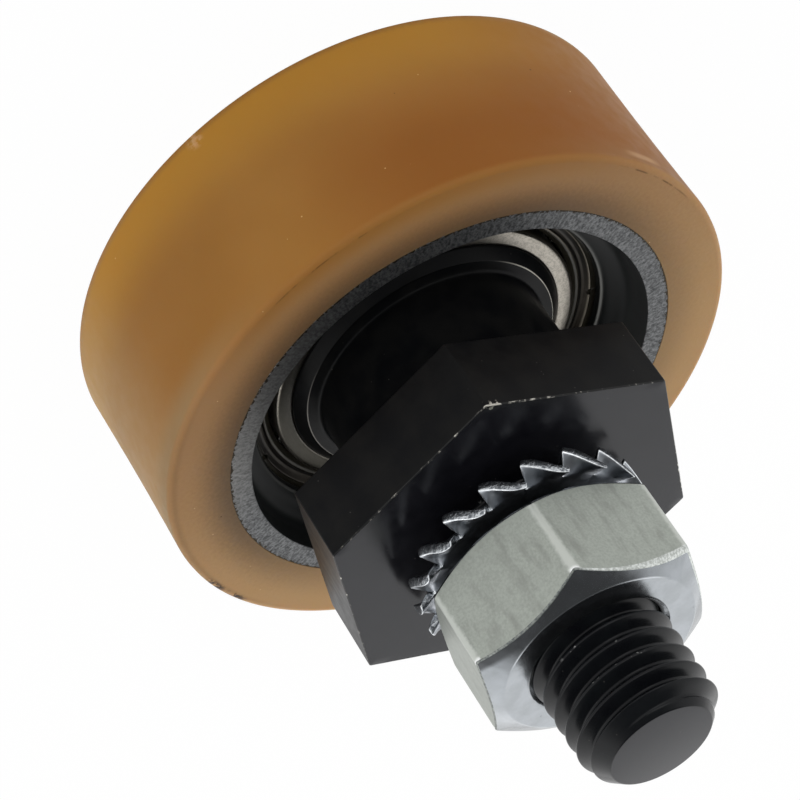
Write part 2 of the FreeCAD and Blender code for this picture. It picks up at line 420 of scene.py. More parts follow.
on_side = f.fade(f.off(f.z, HALF_W), HALF_W - 0.8, HALF_W - 0.05)
grain = f.noise(3.0, 4.0)
# Painted light: the side is lighter towards one side of the wheel.
side = f.mix(f.fade(f.plus(f.along(0.34, 0.94), grain, 12.0), -14.0, 20.0), "9A744C", "B48F61")
# Painted shade: a darker orange towards the rim on the other side.
outer = f.times(f.fade(f.radius, HUB_R + 2.6, WHEEL_R - 0.6, 0.0, 0.75), warm)
side = f.mix(outer, side, "8E6128")
# Steel showing through next to the hub, made deeper on one side by painted shade.
near_hub = f.fade(f.plus(f.radius, grain, 0.8), HUB_R + 4.4, HUB_R + 0.2)
side = f.mix(f.times(near_hub, f.fade(f.y, 10.0, -12.0, 0.3, 0.73)), side, "3E342A")
# Painted shade: darker where the tread bends over into the front face, on one side.
bend = f.times(
    f.fade(f.z, WHEEL_W - 3.2, WHEEL_W - 0.8), f.fade(f.radius, WHEEL_R - 1.0, WHEEL_R - 0.4),
    f.fade(f.along(0.87, -0.5), 17.0, 25.5, 0.0, 0.42),
)
colour = f.mix(bend, f.mix(on_side, tread, side), "6E5636")
print(f"side faces are {WHEEL_R - HUB_R:.1f} mm wide")

# %% [markdown]
# ## Marks on the tyre
# A used tyre has marks: a broken dark line where the trimming blade slipped, dirt on the front edge, a
# scuff on the back edge, and pale and dark specks all over. A painted highlight adds a pale streak near
# the front edge. Most marks are a soft spot round a place, times a noise that breaks it up. The same graph
# then gives the roughness and a very fine relief.

# %% Tyre marks
TRIM_R = WHEEL_R - 0.55
TRIM_PLACES = [(-5.7, -24.8, WHEEL_W), (-25.4, -2.0, WHEEL_W)]
DIRT_PLACES = [(25.5, -4.9, WHEEL_W), (25.8, -1.8, WHEEL_W)]
HIGHLIGHT_PLACE = (-25.8, -3.2, 16.6)
SCUFF_PLACE = (-2.72, -25.86, 0.7)


def near(finish, places, start, end):
    """1 close to one of two places, and 0 further than start from both."""
    return finish.either(*[finish.fade(finish.away(place), start, end) for place in places])


line = f.times(f.fade(f.off(f.radius, TRIM_R), 0.1, 0.02), f.fade(f.noise(0.6, 5.0), 0.44, 0.6, 0.0, 0.7))
colour = f.mix(f.times(line, near(f, TRIM_PLACES, 6.0, 3.0)), colour, "54391C")
dirt = f.times(near(f, DIRT_PLACES, 1.9, 0.5), f.fade(f.noise(1.7, 5.0), 0.48, 0.56))
on_tread = f.fade(f.radius, WHEEL_R - 0.8, WHEEL_R - 0.4)
at_front = f.fade(f.z, WHEEL_W - 1.2, WHEEL_W - 0.6)
colour = f.mix(f.times(dirt, on_tread, at_front), colour, "2E2118")
# Painted highlight: a pale streak near the front edge, in the same colour as the scuff.
shine = f.fade(f.off(f.z, HIGHLIGHT_PLACE[2]), 0.6, 0.1)
shine = f.times(shine, f.fade(f.away(HIGHLIGHT_PLACE), 2.8, 0.8, 0.0, 0.4))
scuff = f.times(f.fade(f.away(SCUFF_PLACE), 1.0, 0.3, 0.0, 0.6), f.fade(f.noise(2.5, 3.0), 0.35, 0.6))
for mark in (shine, scuff):
    colour = f.mix(mark, colour, "C8A27A")
colour = f.mix(f.specks(1.7, 0.05, 0.4), colour, "C8A678")
f.give("Base Color", f.mix(f.specks(3.5, 0.03, 0.4), colour, "54381C"))
f.give("Roughness", f.fade(f.noise(0.7, 4.0), 0.2, 0.8, 0.42, 0.54))
f.bump(f.plus(f.noise(1.5, 4.0), grain, on_side), 0.008)
dress(tyre, polyurethane)
print(len(TRIM_PLACES + DIRT_PLACES) + 2, "marked places on the tyre")

# %% [markdown]
# ## Hub
# The hub is a steel sleeve turned from tube. Inside, a lip keeps the bearing from coming out of the
# front. The round nose of the boring tool left a wide cove where the lip meets the wall, and the other
# edges are sharp.

# %% Hub mesh
BEARING_R = extent("bearing_outer_ring")[1][0]
BEARING_LOW, BEARING_TOP = (corner[2] for corner in extent("bearing_outer_ring"))
RECESS_R, LIP_R, LIP_T = 18.55, 16.2, 0.8
COVE_R, COVE_POINTS = 2.0, 13
MOUTH_EDGE, LIP_EDGE, SEAT_EDGE = 0.1, 0.3, 0.35
SHARP, EASED = 0.05, 0.08
lip_top = BEARING_TOP + LIP_T
cove = [(RECESS_R - COVE_R * (1 - math.cos(a)), lip_top + COVE_R * (1 - math.sin(a)))
        for a in np.linspace(0, math.pi / 2, COVE_POINTS)]

hub = turned_ring(
    "hub_sleeve", "hub",
    [
        (HUB_R, 0), (HUB_R, WHEEL_W), (RECESS_R, WHEEL_W), *cove, (LIP_R, lip_top),
        (LIP_R, BEARING_TOP), (BEARING_R, BEARING_TOP), (BEARING_R, SEAT_EDGE), (BEARING_R + SEAT_EDGE, 0),
    ],
    [SHARP, SHARP, MOUTH_EDGE] + [0] * COVE_POINTS + [LIP_EDGE, SHARP, SHARP, EASED, EASED],
)

# %% [markdown]
# ## Turned steel, bare and blackened
# The hub was blackened before its end faces were cut back to bare steel together with the tyre. The cut
# face is grey and granular, with short strokes that run outwards, from a noise that is stretched along
# the radius, and painted light makes it paler on one side. The front of the lip is bare as well, where a
# tool held it while the bearing was pressed in. Painted shade darkens the recess deeper down and on one
# side, and the lip on that side too. Bare steel is metal and the black skin isn't, so the masks also drive
# the Metallic socket.

# %% Hub finish
hub_steel = Finish("hub_steel", {"Specular IOR Level": 0.08, "Specular Tint": (0.55, 0.55, 0.55, 1.0)})
f = hub_steel
spokes = f.vector("MULTIPLY", f.vector("NORMALIZE", f.flat_place)[0], (HUB_R,) * 3)[0]
climb = f.node("CombineXYZ", 0.0, 0.0, f.times(f.radius, 0.6)).outputs[0]
strokes = f.noise(3.6, 3.0, f.vector("ADD", spokes, climb)[0])
grit = f.plus(f.times(strokes, 0.55), f.noise(5.0, 3.0), 0.45)
cut_face = f.fade(f.off(f.z, HALF_W), HALF_W - 0.12, HALF_W - 0.06)
bare = f.mix(f.fade(grit, 0.32, 0.68), "414243", "7B7C7D")
# Painted light: the cut face is paler on one side.
bare = f.mix(f.fade(f.along(0.45, -0.89), 14.0, 20.0, 0.0, 0.3), bare, "9A9894")
ragged = f.plus(f.radius, f.noise(3.0, 4.0), 1.2)
bare = f.mix(f.fade(ragged, HUB_R + 0.44, HUB_R + 0.56), bare, "38322A")
# Painted shade: the recess wall is darker deeper down.
black = f.mix(f.fade(f.z, lip_top + 0.2, lip_top + 2.0), "171A1A", "464747")
# Painted shade: the recess is darker on one side.
black = f.mix(f.fade(f.x, 3.0, 12.0, 0.0, 0.85), black, "171A1A")
lip_face = f.times(f.fade(f.z, lip_top - 0.2, lip_top - 0.06), f.fade(f.radius, LIP_R + 0.5, LIP_R + 0.1))
# Painted shade: the lip's bare front is darker on the same side.
black = f.mix(lip_face, black, f.mix(f.fade(f.x, -2.0, 9.0), "545452", "2A2A29"))
f.give("Base Color", f.mix(cut_face, black, bare))
f.give("Metallic", f.either(cut_face, lip_face))
f.give("Roughness", f.fade(cut_face, 0.0, 1.0, 0.34, 0.5))
f.bump(f.times(grit, cut_face), 0.03)
dress(hub, hub_steel)
print("hub faces are cut back to bare steel")

# %% [markdown]
# ## Bearing rings
# The bearing's two rings are ground steel with a groove for the balls. Only the front edge of the inner
# ring shows, pale and finely grained beside the black axle, but both rings are whole, so the gap between
# them is real.

# %% Bearing rings
BORE_R, INNER_LAND_R, OUTER_LAND_R, SEAT_R = 12.5, 14.1, 16.7, 17.2
RING_EDGE, LAND_EDGE, SEAT_CUT, SEAT_DEPTH = 0.3, 0.4, 0.1, 1.1
GROOVE_R, GROOVE_POINTS, RACE_GAP = 1.9, 11, 0.15
BALL_R = (extent("ball_01")[1][2] - extent("ball_01")[0][2]) / 2
PITCH_R = (BORE_R + BEARING_R) / 2
BEARING_MID = (BEARING_LOW + BEARING_TOP) / 2


def groove(land_r, side):
    """Points across a ball groove from low to high. side is 1 in the outer ring and -1 in the inner."""
    centre_r = PITCH_R + side * (BALL_R + RACE_GAP - GROOVE_R)
    half = math.acos(side * (land_r - centre_r) / GROOVE_R)
    return [(centre_r + side * GROOVE_R * math.cos(a), BEARING_MID + GROOVE_R * math.sin(a))
            for a in np.linspace(-half, half, GROOVE_POINTS)]


corners = [
    (BORE_R, BEARING_TOP), (BORE_R, BEARING_LOW), (INNER_LAND_R, BEARING_LOW),
    *groove(INNER_LAND_R, -1), (INNER_LAND_R, BEARING_TOP),
]
edges = [RING_EDGE, RING_EDGE, LAND_EDGE] + [0] * GROOVE_POINTS + [LAND_EDGE]
inner_ring = turned_ring("inner_race", "bearing_inner_ring", corners, edges)
seat_top, seat_low = BEARING_TOP - SEAT_DEPTH, BEARING_LOW + SEAT_DEPTH
corners = [
    (BEARING_R, BEARING_LOW), (BEARING_R, BEARING_TOP), (SEAT_R, BEARING_TOP), (SEAT_R, seat_top),
    (OUTER_LAND_R, seat_top), *groove(OUTER_LAND_R, 1)[::-1],
    (OUTER_LAND_R, seat_low), (SEAT_R, seat_low), (SEAT_R, BEARING_LOW),
]
edges = [RING_EDGE] * 2 + [SEAT_CUT] * 3 + [0] * GROOVE_POINTS + [SEAT_CUT] * 3
outer_ring = turned_ring("outer_race", "bearing_outer_ring", corners, edges)

# %% [markdown]
# ## Bearing steel
# Ground steel that was tumbled before grinding keeps very fine dark pits, so it is pale and a little
# rough. Painted shade darkens one side of the front face.

# %% Bearing steel finish
bearing_steel = Finish("bearing_steel", {"Metallic": 1.0})
f = bearing_steel
pits = f.fade(f.noise(6.0, 4.0), 0.36, 0.6)
# Painted shade: one side of the front face is darker.
shaded_side = f.times(f.fade(f.x, 1.0, 8.0), f.fade(f.z, BEARING_TOP - 0.06, BEARING_TOP - 0.01))
f.give("Base Color", f.mix(shaded_side, f.mix(pits, "848078", "959087"), "2F2D27"))
f.give("Roughness", f.fade(pits, 0.0, 1.0, 0.36, 0.28))
f.bump(pits, 0.002)
for ring in (inner_ring, outer_ring):
    dress(ring, bearing_steel)
print("bearing steel on", inner_ring.name, "and", outer_ring.name)

# %% [markdown]
# ## Shields
# A pressed steel plate closes the bearing on each side. It sits in a groove of the outer ring, steps down
# once into a small trough, curls up again, and dips just short of the inner ring, so that no ball shows.
# Two small punch marks hold the front one. They are pushed into the mesh as dents, so this ring is turned
# in finer steps.

# %% Shields
SHIELD_T, SHIELD_EDGE, STEP_R = 0.35, 0.03, 15.88
SHIELD_FACE = [
    (14.30, 1.15), (14.50, 0.95), (14.68, 0.76), (14.84, 0.68), (14.98, 0.70),
    (15.10, 0.80), (15.30, 0.85), (15.50, 0.76), (15.70, 0.53), (15.82, 0.39),
    (STEP_R, 0.34), (15.95, 0.38), (16.10, 0.40), (SEAT_R, 0.40),
]
DENT_AT, DENT_R, DENT_DEPTH, DENT_ANGLES = 15.98, 0.36, 0.3, (139.0, -21.0)
FINE_TURN = np.linspace(0, 2 * math.pi, 721)


def shield(name, node, side, angles):
    """A shield from its face outline of (radius, depth). side is 1 for the front and -1 for the back."""
    top = BEARING_MID + side * (BEARING_TOP - BEARING_MID)
    face = [(r, top - side * depth) for r, depth in SHIELD_FACE]
    back = [(r, z - side * SHIELD_T) for r, z in reversed(face)]
    return turned_ring(name, node, face + back, [SHIELD_EDGE] * (2 * len(face)), angles)


def punch(piece):
    """Pushes the punch marks into a mesh, from the front."""
    for vert in piece.data.vertices:
        for angle in np.radians(DENT_ANGLES):
            mark = Vector((DENT_AT * math.cos(angle), DENT_AT * math.sin(angle), vert.co.z / MM))
            away = (vert.co / MM - mark).length / DENT_R
            if away < 1:
                vert.co.z -= DENT_DEPTH * MM * (1 - away ** 2) ** 2


front_shield = shield("front_shield_plate", "front_shield", 1, FINE_TURN)
punch(front_shield)
rear_shield = shield("rear_shield_plate", "rear_shield", -1, FULL_TURN)

# %% [markdown]
# ## Shield finish
# The plates are browned steel with a trace of oil. The trough is dark, painted highlights make the curl
# and the step lighter, and old grease makes both edges dull, so the colour follows the radius. Painted
# shade darkens the plates on one side.

# %% Shield finish
shield_brown = Finish("shield_brown", {"Specular IOR Level": 0.2})
f = shield_brown
film = f.noise(0.9, 4.0)
rim = f.fade(f.radius, STEP_R + 0.04, STEP_R + 0.09)
trough = f.times(f.fade(f.radius, 14.95, 15.1), f.fade(f.radius, STEP_R - 0.04, STEP_R - 0.18))
greased = f.either(rim, f.fade(f.radius, 14.95, 14.8))
# Painted highlight: the lighter colour that shows on the curl and the step.
ridge_highlight = f.mix(f.fade(film, 0.3, 0.7), "4A463E", "605B52")
# Painted shade: darker on one side.
ridge_highlight = f.mix(f.fade(f.x, -2.0, 9.0, 0.0, 0.9), ridge_highlight, "1C1916")
browned = f.mix(f.either(trough, rim), ridge_highlight, "201D19")
f.give("Base Color", f.mix(greased, browned, "3A372E"))
f.give("Metallic", f.fade(greased, 0.0, 1.0, 1.0, 0.1))
f.give("Roughness", f.fade(film, 0.3, 0.7, 0.28, 0.36))
f.bump(f.noise(4.0, 3.0), 0.004)
for plate in (front_shield, rear_shield):
    dress(plate, shield_brown)
print("shields are browned")

# %% [markdown]
# ## Balls and cage
# Seventeen polished balls run in a nylon crown cage. Their CAD shapes are right already, so they stay as
# they are and only get finishes. Rolling leaves faint haze on a ball, and moulded nylon has a soft
# mottled grain.

# %% Balls and cage
ball_steel = Finish("ball_steel", {"Metallic": 1.0})
f = ball_steel
haze = f.noise(1.2, 4.0)
f.give("Base Color", f.mix(haze, "C4C5C6", "DCDDDD"))
f.give("Roughness", f.fade(haze, 0.3, 0.8, 0.08, 0.2))

cage_nylon = Finish("cage_nylon", {"Subsurface Weight": 0.15, "Subsurface Scale": 0.8 * MM})
f = cage_nylon
mottle = f.noise(0.8, 4.0)
f.give("Base Color", f.mix(mottle, "CDBE9C", "E2D6BA"))
f.give("Roughness", f.fade(mottle, 0.3, 0.7, 0.4, 0.55))
f.bump(f.noise(3.0, 3.0), 0.01)

balls = [node for name, node in frame["nodes"].items() if SLOT_OF[name] == "ball_steel"]
for ball in balls:
    dress(ball, ball_steel)
dress(frame["nodes"]["bearing_cage"], cage_nylon)
print(len(balls), "balls of", round(2 * BALL_R, 2), "mm in the cage")

# %% [markdown]
# ## A true thread
# The stud and the nut carry an M12 thread with a pitch of 1.75 mm. A thread is one tooth outline that
# climbs by a pitch in each turn. The rows of this mesh climb with it, so that every crest is one clean
# line of edges. At the ends, rows are cut off level by holding their height, and their radius is read
# from the outline again.

# %% Thread
PITCH, CREST_R = 1.75, 6.0
ROOT_ROUND, CREST_ROUND = 0.14, 0.09
# An outside metric thread is 0.6134 of its pitch deep, and its crest an eighth of the pitch wide.
THREAD_DEPTH = 0.6134 * PITCH
CREST_HALF = PITCH / 16
FLANK = THREAD_DEPTH * math.tan(math.radians(30))
ROOT_R = CREST_R - THREAD_DEPTH
MID_R = (ROOT_R + CREST_R) / 2
STUD_X = extent("axle")[1][0] - extent("axle")[1][1] * 2 / math.sqrt(3)

tooth = soften(
    [
        (ROOT_R, -PITCH / 2), (ROOT_R, -CREST_HALF - FLANK), (MID_R, -CREST_HALF - FLANK / 2),
        (CREST_R, -CREST_HALF), (CREST_R, CREST_HALF),
        (MID_R, CREST_HALF + FLANK / 2), (ROOT_R, CREST_HALF + FLANK), (ROOT_R, PITCH / 2),
    ],
    [0, ROOT_ROUND, 0, CREST_ROUND, CREST_ROUND, 0, ROOT_ROUND, 0],
)


def thread_radius(angles, z):
    """Radius of the thread at each angle and height."""
    climbed = z - PITCH * angles / (2 * math.pi)
    return np.interp(climbed, tooth[:, 1], tooth[:, 0], period=PITCH)


def thread_rows(angles, low, high, shape):
    """Climbing rows from one height to another. shape(radius, height) trims the ends."""
    turns = np.arange(math.floor(low / PITCH) - 2, math.ceil(high / PITCH) + 2)
    heights = (turns[:, None] * PITCH + tooth[:-1, 1]).ravel()
    z = np.clip(heights[:, None] + PITCH * angles / (2 * math.pi), low, high)
    outline = np.stack([shape(thread_radius(angles, z), z), z], axis=-1)
    return carry_round(outline, angles, STUD_X)


print(f"M{2 * CREST_R:.0f} x {PITCH}, core {2 * ROOT_R:.2f} mm, {STUD_X:.2f} mm off the wheel's axis")

# %% [markdown]
# ## Hexagons
# A hexagon's distance from its axis is smallest at the middle of a flat and largest at a corner. Each
# corner is rounded by a small arc that touches both flats, and the angles are closer together there.

# %% Hexagons


def hex_angles(turn):
    """One full turn of angles in radians, starting at a corner, close together at all six corners."""
    even = np.arange(0, 361, 2.5)
    beside = np.array([0, 0.25, 0.5, 0.8, 1.2, 1.6, 2.1])
    corners = [60 * k + sign * d for k in range(7) for d in beside for sign in (-1, 1)]
    angles = np.unique(np.round(np.concatenate([even, corners]), 3))
    return np.radians(angles[(angles >= 0) & (angles <= 360)] + turn)


def hex_radius(angles, across_flats, corner, turn):
    """Radius at each angle, with corners rounded by an arc."""
    from_corner = np.radians((np.degrees(angles) - turn + 30.001) % 60 - 30.001)
    flats = across_flats / 2 / np.cos(math.pi / 6 - np.abs(from_corner))
    centre = (across_flats / 2 - corner) * 2 / math.sqrt(3)
    reach = np.maximum(corner ** 2 - (centre * np.sin(from_corner)) ** 2, 0)
    on_arc = np.abs(np.sin(from_corner)) * across_flats / math.sqrt(3) < corner / 2
    return np.where(on_arc, np.minimum(flats, centre * np.cos(from_corner) + np.sqrt(reach)), flats)


def ringed(radii, z):
    """The same height at each radius, as corners for soften."""
    return np.stack(np.broadcast_arrays(radii, z), axis=-1)


print(len(hex_angles(0)), "angles round a hexagon")

# %% [markdown]
# ## Axle
# The axle is machined from hexagon bar as one piece: a journal for the bearing, a thinner neck, the
# hexagon for a spanner, and the stud. The journal turns about the wheel's axis and the stud about its
# own, 1.85 mm aside. Because every row has the same angles, rows about either axis join up into one
# closed skin. Each run of rows also carries the number of its finish: faced, drawn, worn, threaded or
# rubbed.

# %% Axle mesh
FACED, DRAWN, WORN, THREADED, RUBBED = range(5)
AXLE_LOW, STUD_TOP = (corner[2] for corner in extent("axle"))
JOURNAL_TOP, JOURNAL_EDGE, NECK_R = 14.0, 0.9, 10.4
CLIP_PLAY, CLIP_SEAT_R, CLIP_CUT = 0.1, 11.95, 0.06
CLIP_LOW = extent("axle_circlip")[0][2] - CLIP_PLAY
HEX_AF = 2 * extent("axle")[1][1]
HEX_LOW, HEX_TOP, HEX_CORNER, HEX_EDGE = 24.3, 31.3, 0.25, 0.11
STUD_END_R, STUD_TIP = 4.5, 0.1
RUN_OUT, RUN_OUT_SLOPE = 0.9, 0.6

hex_turn = hex_angles(0)
journal = soften(
    [
        (0, AXLE_LOW), (BORE_R - JOURNAL_EDGE, AXLE_LOW), (BORE_R, AXLE_LOW + JOURNAL_EDGE),
        (BORE_R, CLIP_LOW), (CLIP_SEAT_R, CLIP_LOW), (CLIP_SEAT_R, BEARING_LOW), (BORE_R, BEARING_LOW),
        (BORE_R, JOURNAL_TOP - JOURNAL_EDGE), (BORE_R - JOURNAL_EDGE, JOURNAL_TOP), (NECK_R, JOURNAL_TOP),
        (NECK_R, HEX_LOW), (NECK_R + 1, HEX_LOW),
    ],
    [0, 0.15, 0.15] + [CLIP_CUT] * 4 + [0.1, 0.06, 0.4, 0.4, 0],
)
hex_r = hex_radius(hex_turn, HEX_AF, HEX_CORNER, 0)
hexagon = soften(
    [
        ringed(hex_r - 1, HEX_LOW), ringed(hex_r, HEX_LOW),
        ringed(hex_r, HEX_TOP), ringed(hex_r - 1, HEX_TOP),
    ],
    [0, HEX_EDGE, HEX_EDGE, 0],
)
shoulder = soften([(CREST_R + 1, HEX_TOP), (CREST_R, HEX_TOP), (CREST_R, HEX_TOP + RUN_OUT)], [0, 0.3, 0])
stud_end = soften(
    [(STUD_END_R + STUD_TIP, STUD_TOP - STUD_TIP), (STUD_END_R, STUD_TOP), (0, STUD_TOP)],
    [0, 0.06, 0],
)


def stud_shape(radius, z):
    """The thread runs out towards the hexagon and is turned to a cone at its end."""
    run_out = CREST_R - RUN_OUT_SLOPE * (z - HEX_TOP - RUN_OUT)
    return np.minimum(np.maximum(radius, run_out), STUD_END_R + STUD_TOP - z)


spindle_rows = carry_round(journal, hex_turn)
hex_rows, shoulder_rows, end_rows = (
    carry_round(outline, hex_turn, STUD_X) for outline in (hexagon, shoulder, stud_end)
)
thread = thread_rows(hex_turn, HEX_TOP + RUN_OUT, STUD_TOP - STUD_TIP, stud_shape)
# A softened corner is four rows: 29 to 32 are the journal's top edge, and 5 to 8 the hexagon's front edge.
axle = weld(
    "axle_turning",
    (spindle_rows[:30], DRAWN),
    (spindle_rows[29:33], RUBBED),
    (np.concatenate([spindle_rows[32:], hex_rows[:6]]), DRAWN),
    (hex_rows[5:9], WORN),
    (np.concatenate([hex_rows[8:], shoulder_rows[:2]]), FACED),
    (shoulder_rows[1:], THREADED),
    (thread, THREADED),
    (end_rows[:5], THREADED),
    (end_rows[4:], FACED),
)
stand_for(axle, "axle")

# %% [markdown]
# ## Black oxide
# Black oxide is a thin dark skin grown on the steel in a hot salt bath. Faced ends stay satin, the drawn
# sides and the journal are dull and almost black, and the rolled thread shines. One function makes every
# skin, from its two colours, its shine, its roughness and its relief.

# %% Black oxide skins


def oxide(name, dark, light, shine, rough, relief):
    """A patchy black skin with a few paler specks. Gives the finish and the skin's colour."""
    finish = Finish(name, {"Specular IOR Level": shine})
    patchy = finish.fade(finish.noise(0.4, 5.0), 0.3, 0.7)
    skin = finish.mix(finish.specks(0.8, 0.07, 0.3), finish.mix(patchy, dark, light), "4C4A47")
    finish.give("Base Color", skin)
    finish.give("Roughness", finish.fade(finish.noise(0.8, 3.0), 0.3, 0.7, rough, rough * 1.2))
    finish.bump(finish.noise(5.0, 3.0), relief)
    return finish, skin


oxide_faced, faced_skin = oxide("oxide_faced", "0E0E12", "151519", 0.16, 0.2, 0.0012)
oxide_drawn, drawn_skin = oxide("oxide_drawn", "0A0B0D", "131313", 0.07, 0.32, 0.005)
oxide_worn, worn_skin = oxide("oxide_worn", "0C0C0D", "1A1A1A", 0.2, 0.3, 0.01)
oxide_thread, thread_skin = oxide("oxide_thread", "0C0D10", "121416", 0.16, 0.2, 0.002)
oxide_rubbed, rubbed_skin = oxide("oxide_rubbed", "4A4845", "5E5C58", 0.12, 0.3, 0.004)
oxide_faced.give("Specular Tint", (0.92, 0.94, 1.0, 1.0))
print("five skins of black oxide")

# %% [markdown]
# ## Worn places and painted glints on the axle
# Along the hexagon's front edge the skin is knocked off in places, most of all at one corner, so the
# steel glints there. Painted glints light a few spots on the thread's crests on one side. The journal's
# top edge has been rubbed bright, lighter towards one side as a painted highlight and dark on another as
# painted shade. A mask turns the skin into bare steel, so the wear and the glints can end anywhere on a
# face.

# %% Axle wear
NICK_PLACE = (STUD_X - HEX_AF / math.sqrt(3) / 2 - 0.3, -HEX_AF / 2 + 0.5, HEX_TOP)


def bare_steel(finish, skin, where, colour):
    """Turns the skin into bare steel of a colour where the mask is 1."""
    finish.give("Base Color", finish.mix(where, skin, colour))
    finish.give("Metallic", where)


def knock_off(finish, skin, start, end):
    """Bares the steel where a broken pattern passes start, more so close to the nicked corner."""
    pattern = finish.noise(2.2, 4.0)
    for shift in (
        finish.fade(finish.x, -12.5, -8.5, -0.12, 0.0),
        finish.fade(finish.x, -6.8, -6.0, 0.0, -0.07),
        finish.fade(finish.away(NICK_PLACE), 1.4, 0.4, 0.0, 0.3),
    ):
        pattern = finish.math("ADD", pattern, shift)
    bare_steel(finish, skin, finish.fade(pattern, start, end), "B4B1A9")


knock_off(oxide_worn, worn_skin, 0.5, 0.66)
knock_off(oxide_faced, faced_skin, 0.82, 0.9)
knock_off(oxide_drawn, drawn_skin, 0.82, 0.9)
f = oxide_thread
# Painted glints: a few pale spots on the thread's crests, on one side.
crest_glints = f.times(
    f.fade(f.away((STUD_X, 0, 0), f.flat_place), CREST_R - 0.05, CREST_R - 0.02),
    f.fade(f.along(-0.34, -0.94), 4.4, 5.4), f.fade(f.noise(1.6, 3.0), 0.62, 0.7),
)
bare_steel(f, thread_skin, crest_glints, "A8A8A6")
f = oxide_rubbed
# Painted highlight: the rubbed edge is lighter towards one side. Painted shade: dark on another side.
rubbed_and_highlit = f.mix(f.fade(f.x, -2.0, -10.0), rubbed_skin, "8A8880")
f.give("Base Color", f.mix(f.fade(f.along(-0.42, -0.91), 4.5, 8.5), rubbed_and_highlit, "1C1C1C"))
f.give("Metallic", 1.0)
dress(axle, oxide_faced, oxide_drawn, oxide_worn, oxide_thread, oxide_rubbed)
print("axle has", len(axle.data.materials), "finishes")

# %% [markdown]
# ## Circlip
# A spring ring behind the bearing keeps the axle in. Stamped edges are slightly rounded, so a copy of the
# CAD mesh is welded, its flat faces are merged, and a Bevel modifier breaks every edge.

# %% Circlip
CLIP_EDGE = 0.08


def broken_edges(piece, width, finish=-1):
    """Adds a Bevel modifier in front of the others. finish is the number of the new faces' finish."""
    edge = piece.modifiers.new("broken_edge", "BEVEL")
    edge.width = width * MM
    edge.segments = 2
    edge.angle_limit = math.radians(35)
    edge.material = finish
    piece.modifiers.move(len(piece.modifiers) - 1, 0)


shell = bmesh.new()
shell.from_mesh(frame["nodes"]["axle_circlip"].data)
bmesh.ops.remove_doubles(shell, verts=shell.verts, dist=WELD)
bmesh.ops.dissolve_limit(shell, angle_limit=math.radians(0.5), verts=shell.verts, edges=shell.edges)
circlip = stand_for(shaded("circlip_spring", shell), "axle_circlip")
broken_edges(circlip, CLIP_EDGE)
phosphate, _ = oxide("phosphate", "1C1B1A", "2E2C2A", 0.4, 0.3, 0.004)
dress(circlip, phosphate)

# %% [markdown]
# ## Fan washer
# The washer is stamped from sheet. Seventeen narrow slits part its rim into teeth, and a press then
# twists each tooth, so that one end looks up to the nut and the other down. The mesh is made the same
# way: both faces of a tooth are rows from root to tip that lean more and more, and walls close the tips,
# the slits and the bore. A Bevel modifier rolls the edges over and gives them a brighter finish than the
# walls.

# %% Fan washer
PLATED, SHEARED, ROLLED = range(3)
WASHER_MID = sum(corner[2] for corner in extent("lock_washer")) / 2
WASHER_BORE_R, NOTCH_R, TIP_R = 6.5, 8.85, 10.4
WASHER_T, TIP_T, ROLLED_EDGE = 0.85, 0.8, 0.08
TEETH, TOOTH_PHASE, SLIT_HALF = 17, math.radians(-114.1), 0.012
TOOTH_RISE, TOOTH_BEND, TOOTH_THIN = 1.08, 0.12, 0.35
TOOTH_PITCH = 2 * math.pi / TEETH
ROOT_HALF, TIP_HALF = TOOTH_PITCH / 2 - SLIT_HALF, math.radians(9.2)
ACROSS = np.linspace(-1, 1, 17)
OUTWARD = np.linspace(0, 1, 9)[:, None]


def tooth_face(side, number):
    """Rows of a tooth's face from root to tip. side is 1 for the face to the nut and -1 for the other."""
    r = NOTCH_R + (TIP_R - NOTCH_R) * OUTWARD
    half = ROOT_HALF + (TIP_HALF - ROOT_HALF) * OUTWARD
    lean = np.arctan(TOOTH_RISE * OUTWARD / (half * r))
    thick = (WASHER_T + (TIP_T - WASHER_T) * OUTWARD) * (1 - TOOTH_THIN * OUTWARD * np.abs(ACROSS) ** 3)
    bend = ACROSS + TOOTH_BEND * np.sin(math.pi * ACROSS)
    angle = TOOTH_PHASE + TOOTH_PITCH * number + ACROSS * half + side * thick / 2 * np.sin(lean) / r
    height = WASHER_MID - TOOTH_RISE * OUTWARD * bend + side * thick / 2 * np.cos(lean)
    return np.stack([STUD_X + r * np.cos(angle), r * np.sin(angle), height], axis=-1)


upper, lower = ([tooth_face(side, k) for k in range(TEETH + 1)] for side in (1, -1))
patches = []
bore_rows = []
for faces in (upper, lower):
    rim = np.concatenate([face[0] for face in faces[:TEETH]] + [faces[0][0][:1]])
    axis = np.array([STUD_X, 0, 0])
    bore = axis + (rim - axis) * (WASHER_BORE_R / NOTCH_R, WASHER_BORE_R / NOTCH_R, 1)
    patches.append((np.stack([rim + (bore - rim) * t for t in (0, 0.35, 0.7, 1)]), PLATED))
    patches += [(face, PLATED) for face in faces[:TEETH]]
    bore_rows.append(bore)
patches.append((np.stack(bore_rows), SHEARED))
for k in range(TEETH):
    patches.append((np.stack([upper[k][-1], lower[k][-1]]), SHEARED))
    patches += [(np.stack([upper[k][:, end], lower[k][:, end]]), SHEARED) for end in (0, -1)]
    slit = [[faces[k][0, -1], faces[k + 1][0, 0]] for faces in (upper, lower)]
    patches.append((np.array(slit), SHEARED))
washer = stand_for(weld("fan_washer", *patches), "lock_washer")
broken_edges(washer, ROLLED_EDGE, ROLLED)

# %% [markdown]
# ## Nut
# The nut is a forged hexagon with worn corners, turned to a shallow cone at both ends. Where the cone
# meets a flat it leaves a curve, highest at the middle of the flat. That curve needs no cutting: at each
# angle the cone's height follows from the hexagon's radius. One flat's front edge was rolled over, more
# and more to one side.

